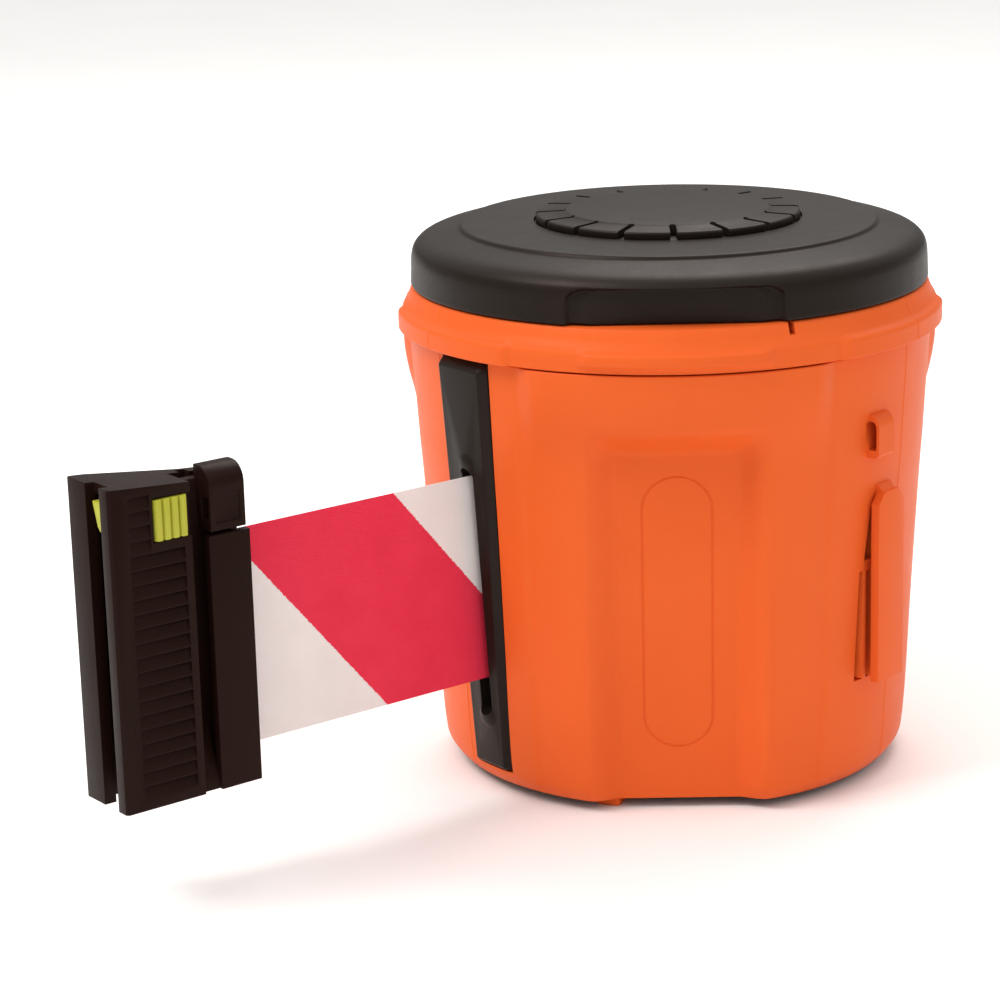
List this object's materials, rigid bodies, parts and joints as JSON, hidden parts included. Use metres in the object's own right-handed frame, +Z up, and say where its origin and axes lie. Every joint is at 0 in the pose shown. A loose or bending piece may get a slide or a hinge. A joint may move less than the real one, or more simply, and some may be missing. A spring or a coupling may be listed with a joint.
{
  "type": "retractable barrier tape unit",
  "caption": "Drum-shaped retractable barrier tape unit that drops over a traffic cone, with a striped tape, an end fitting and rail receivers.",
  "frame": {"origin": "centre of the flat roof of the cone socket, which is the face that sits on a cone's tip", "axes": "+Z up along the drum's axis; -Y the way the tape is pulled out of its slot; +X to the right seen from the slot's side"},
  "size_m": [0.1816, 0.3185, 0.1885],
  "materials": {
    "orange_plastic": "fine-grained moulded, satin",
    "black_plastic": "fine-grained moulded, satin",
    "rubber": "matt",
    "steel": "zinc plated",
    "white_plastic": "smooth acetal",
    "lime_plastic": "moulded, satin",
    "tape": "woven polyester, diagonal red stripes"
  },
  "bodies": {
    "housing": {"body_shell": "orange_plastic", "collar": "orange_plastic", "base_plate": "black_plastic", "foot_1": "orange_plastic", "foot_2": "orange_plastic", "foot_3": "orange_plastic", "cone_socket": "black_plastic", "cone_grip": "rubber", "centre_post": "steel", "post_nut": "steel", "top_bridge": "black_plastic", "slot_bezel": "black_plastic", "guide_pin_left": "steel", "guide_pin_right": "steel", "receiver_side": "orange_plastic", "receiver_rear": "orange_plastic", "lower_bushing": "white_plastic", "upper_bushing": "white_plastic", "spring_arbor": "steel", "power_spring": "steel", "plunger_spring": "steel", "base_screw_1": "steel", "base_screw_2": "steel", "base_screw_3": "steel", "socket_screw_1": "steel", "socket_screw_2": "steel", "socket_screw_3": "steel", "bridge_screw_1": "steel", "bridge_screw_2": "steel", "bridge_screw_3": "steel"},
    "reel": {"reel_hub": "black_plastic", "lower_flange": "black_plastic", "upper_flange": "black_plastic", "tape_roll": "tape", "spring_cup": "black_plastic", "spring_cover": "steel", "brake_ring": "steel"},
    "tape_end": {"end_block": "black_plastic", "end_rail": "black_plastic", "clamp_pin": "steel", "clamp_screw_1": "steel", "clamp_screw_2": "steel", "latch_spring": "steel", "tape_strip": "tape"},
    "latch": {"latch": "lime_plastic"},
    "lid": {"lid": "black_plastic"},
    "dial": {"lock_dial": "black_plastic", "dial_cam": "black_plastic", "dial_clip": "steel", "dial_screw": "steel"},
    "plunger": {"brake_plunger": "black_plastic"}
  },
  "joints": [
    {"name": "tape_pull", "type": "slide", "parent": "housing", "child": "tape_end", "axis": [0, -1, 0], "range_m": [-0.0895, 8.9], "deforming": ["tape_strip"]},
    {"name": "reel_spin", "type": "hinge", "parent": "housing", "child": "reel", "pos_m": [0, 0, 0], "axis": [0, 0, 1], "range_deg": [-120, 10800]},
    {"name": "latch_slide", "type": "slide", "parent": "tape_end", "child": "latch", "axis": [0, 1, 0], "range_m": [0, 0.0035], "stiffness_N_per_m": 300, "springref_m": -0.003, "deforming": ["latch_spring"]},
    {"name": "lid_lift", "type": "slide", "parent": "housing", "child": "lid", "axis": [0, 0, 1], "range_m": [0, 0.05]},
    {"name": "dial_turn", "type": "hinge", "parent": "lid", "child": "dial", "pos_m": [0, 0, 0.08], "axis": [0, 0, 1], "range_deg": [0, 45]},
    {"name": "plunger_slide", "type": "slide", "parent": "housing", "child": "plunger", "axis": [0, 0, -1], "range_m": [0, 0.0036], "deforming": ["plunger_spring"]}
  ],
  "couplings": [
    {"joint": "reel_spin", "follows": "tape_pull", "rad_per_m": 20.942},
    {"joint": "plunger_slide", "follows": "dial_turn", "m_per_rad": 0.0044563}
  ]
}
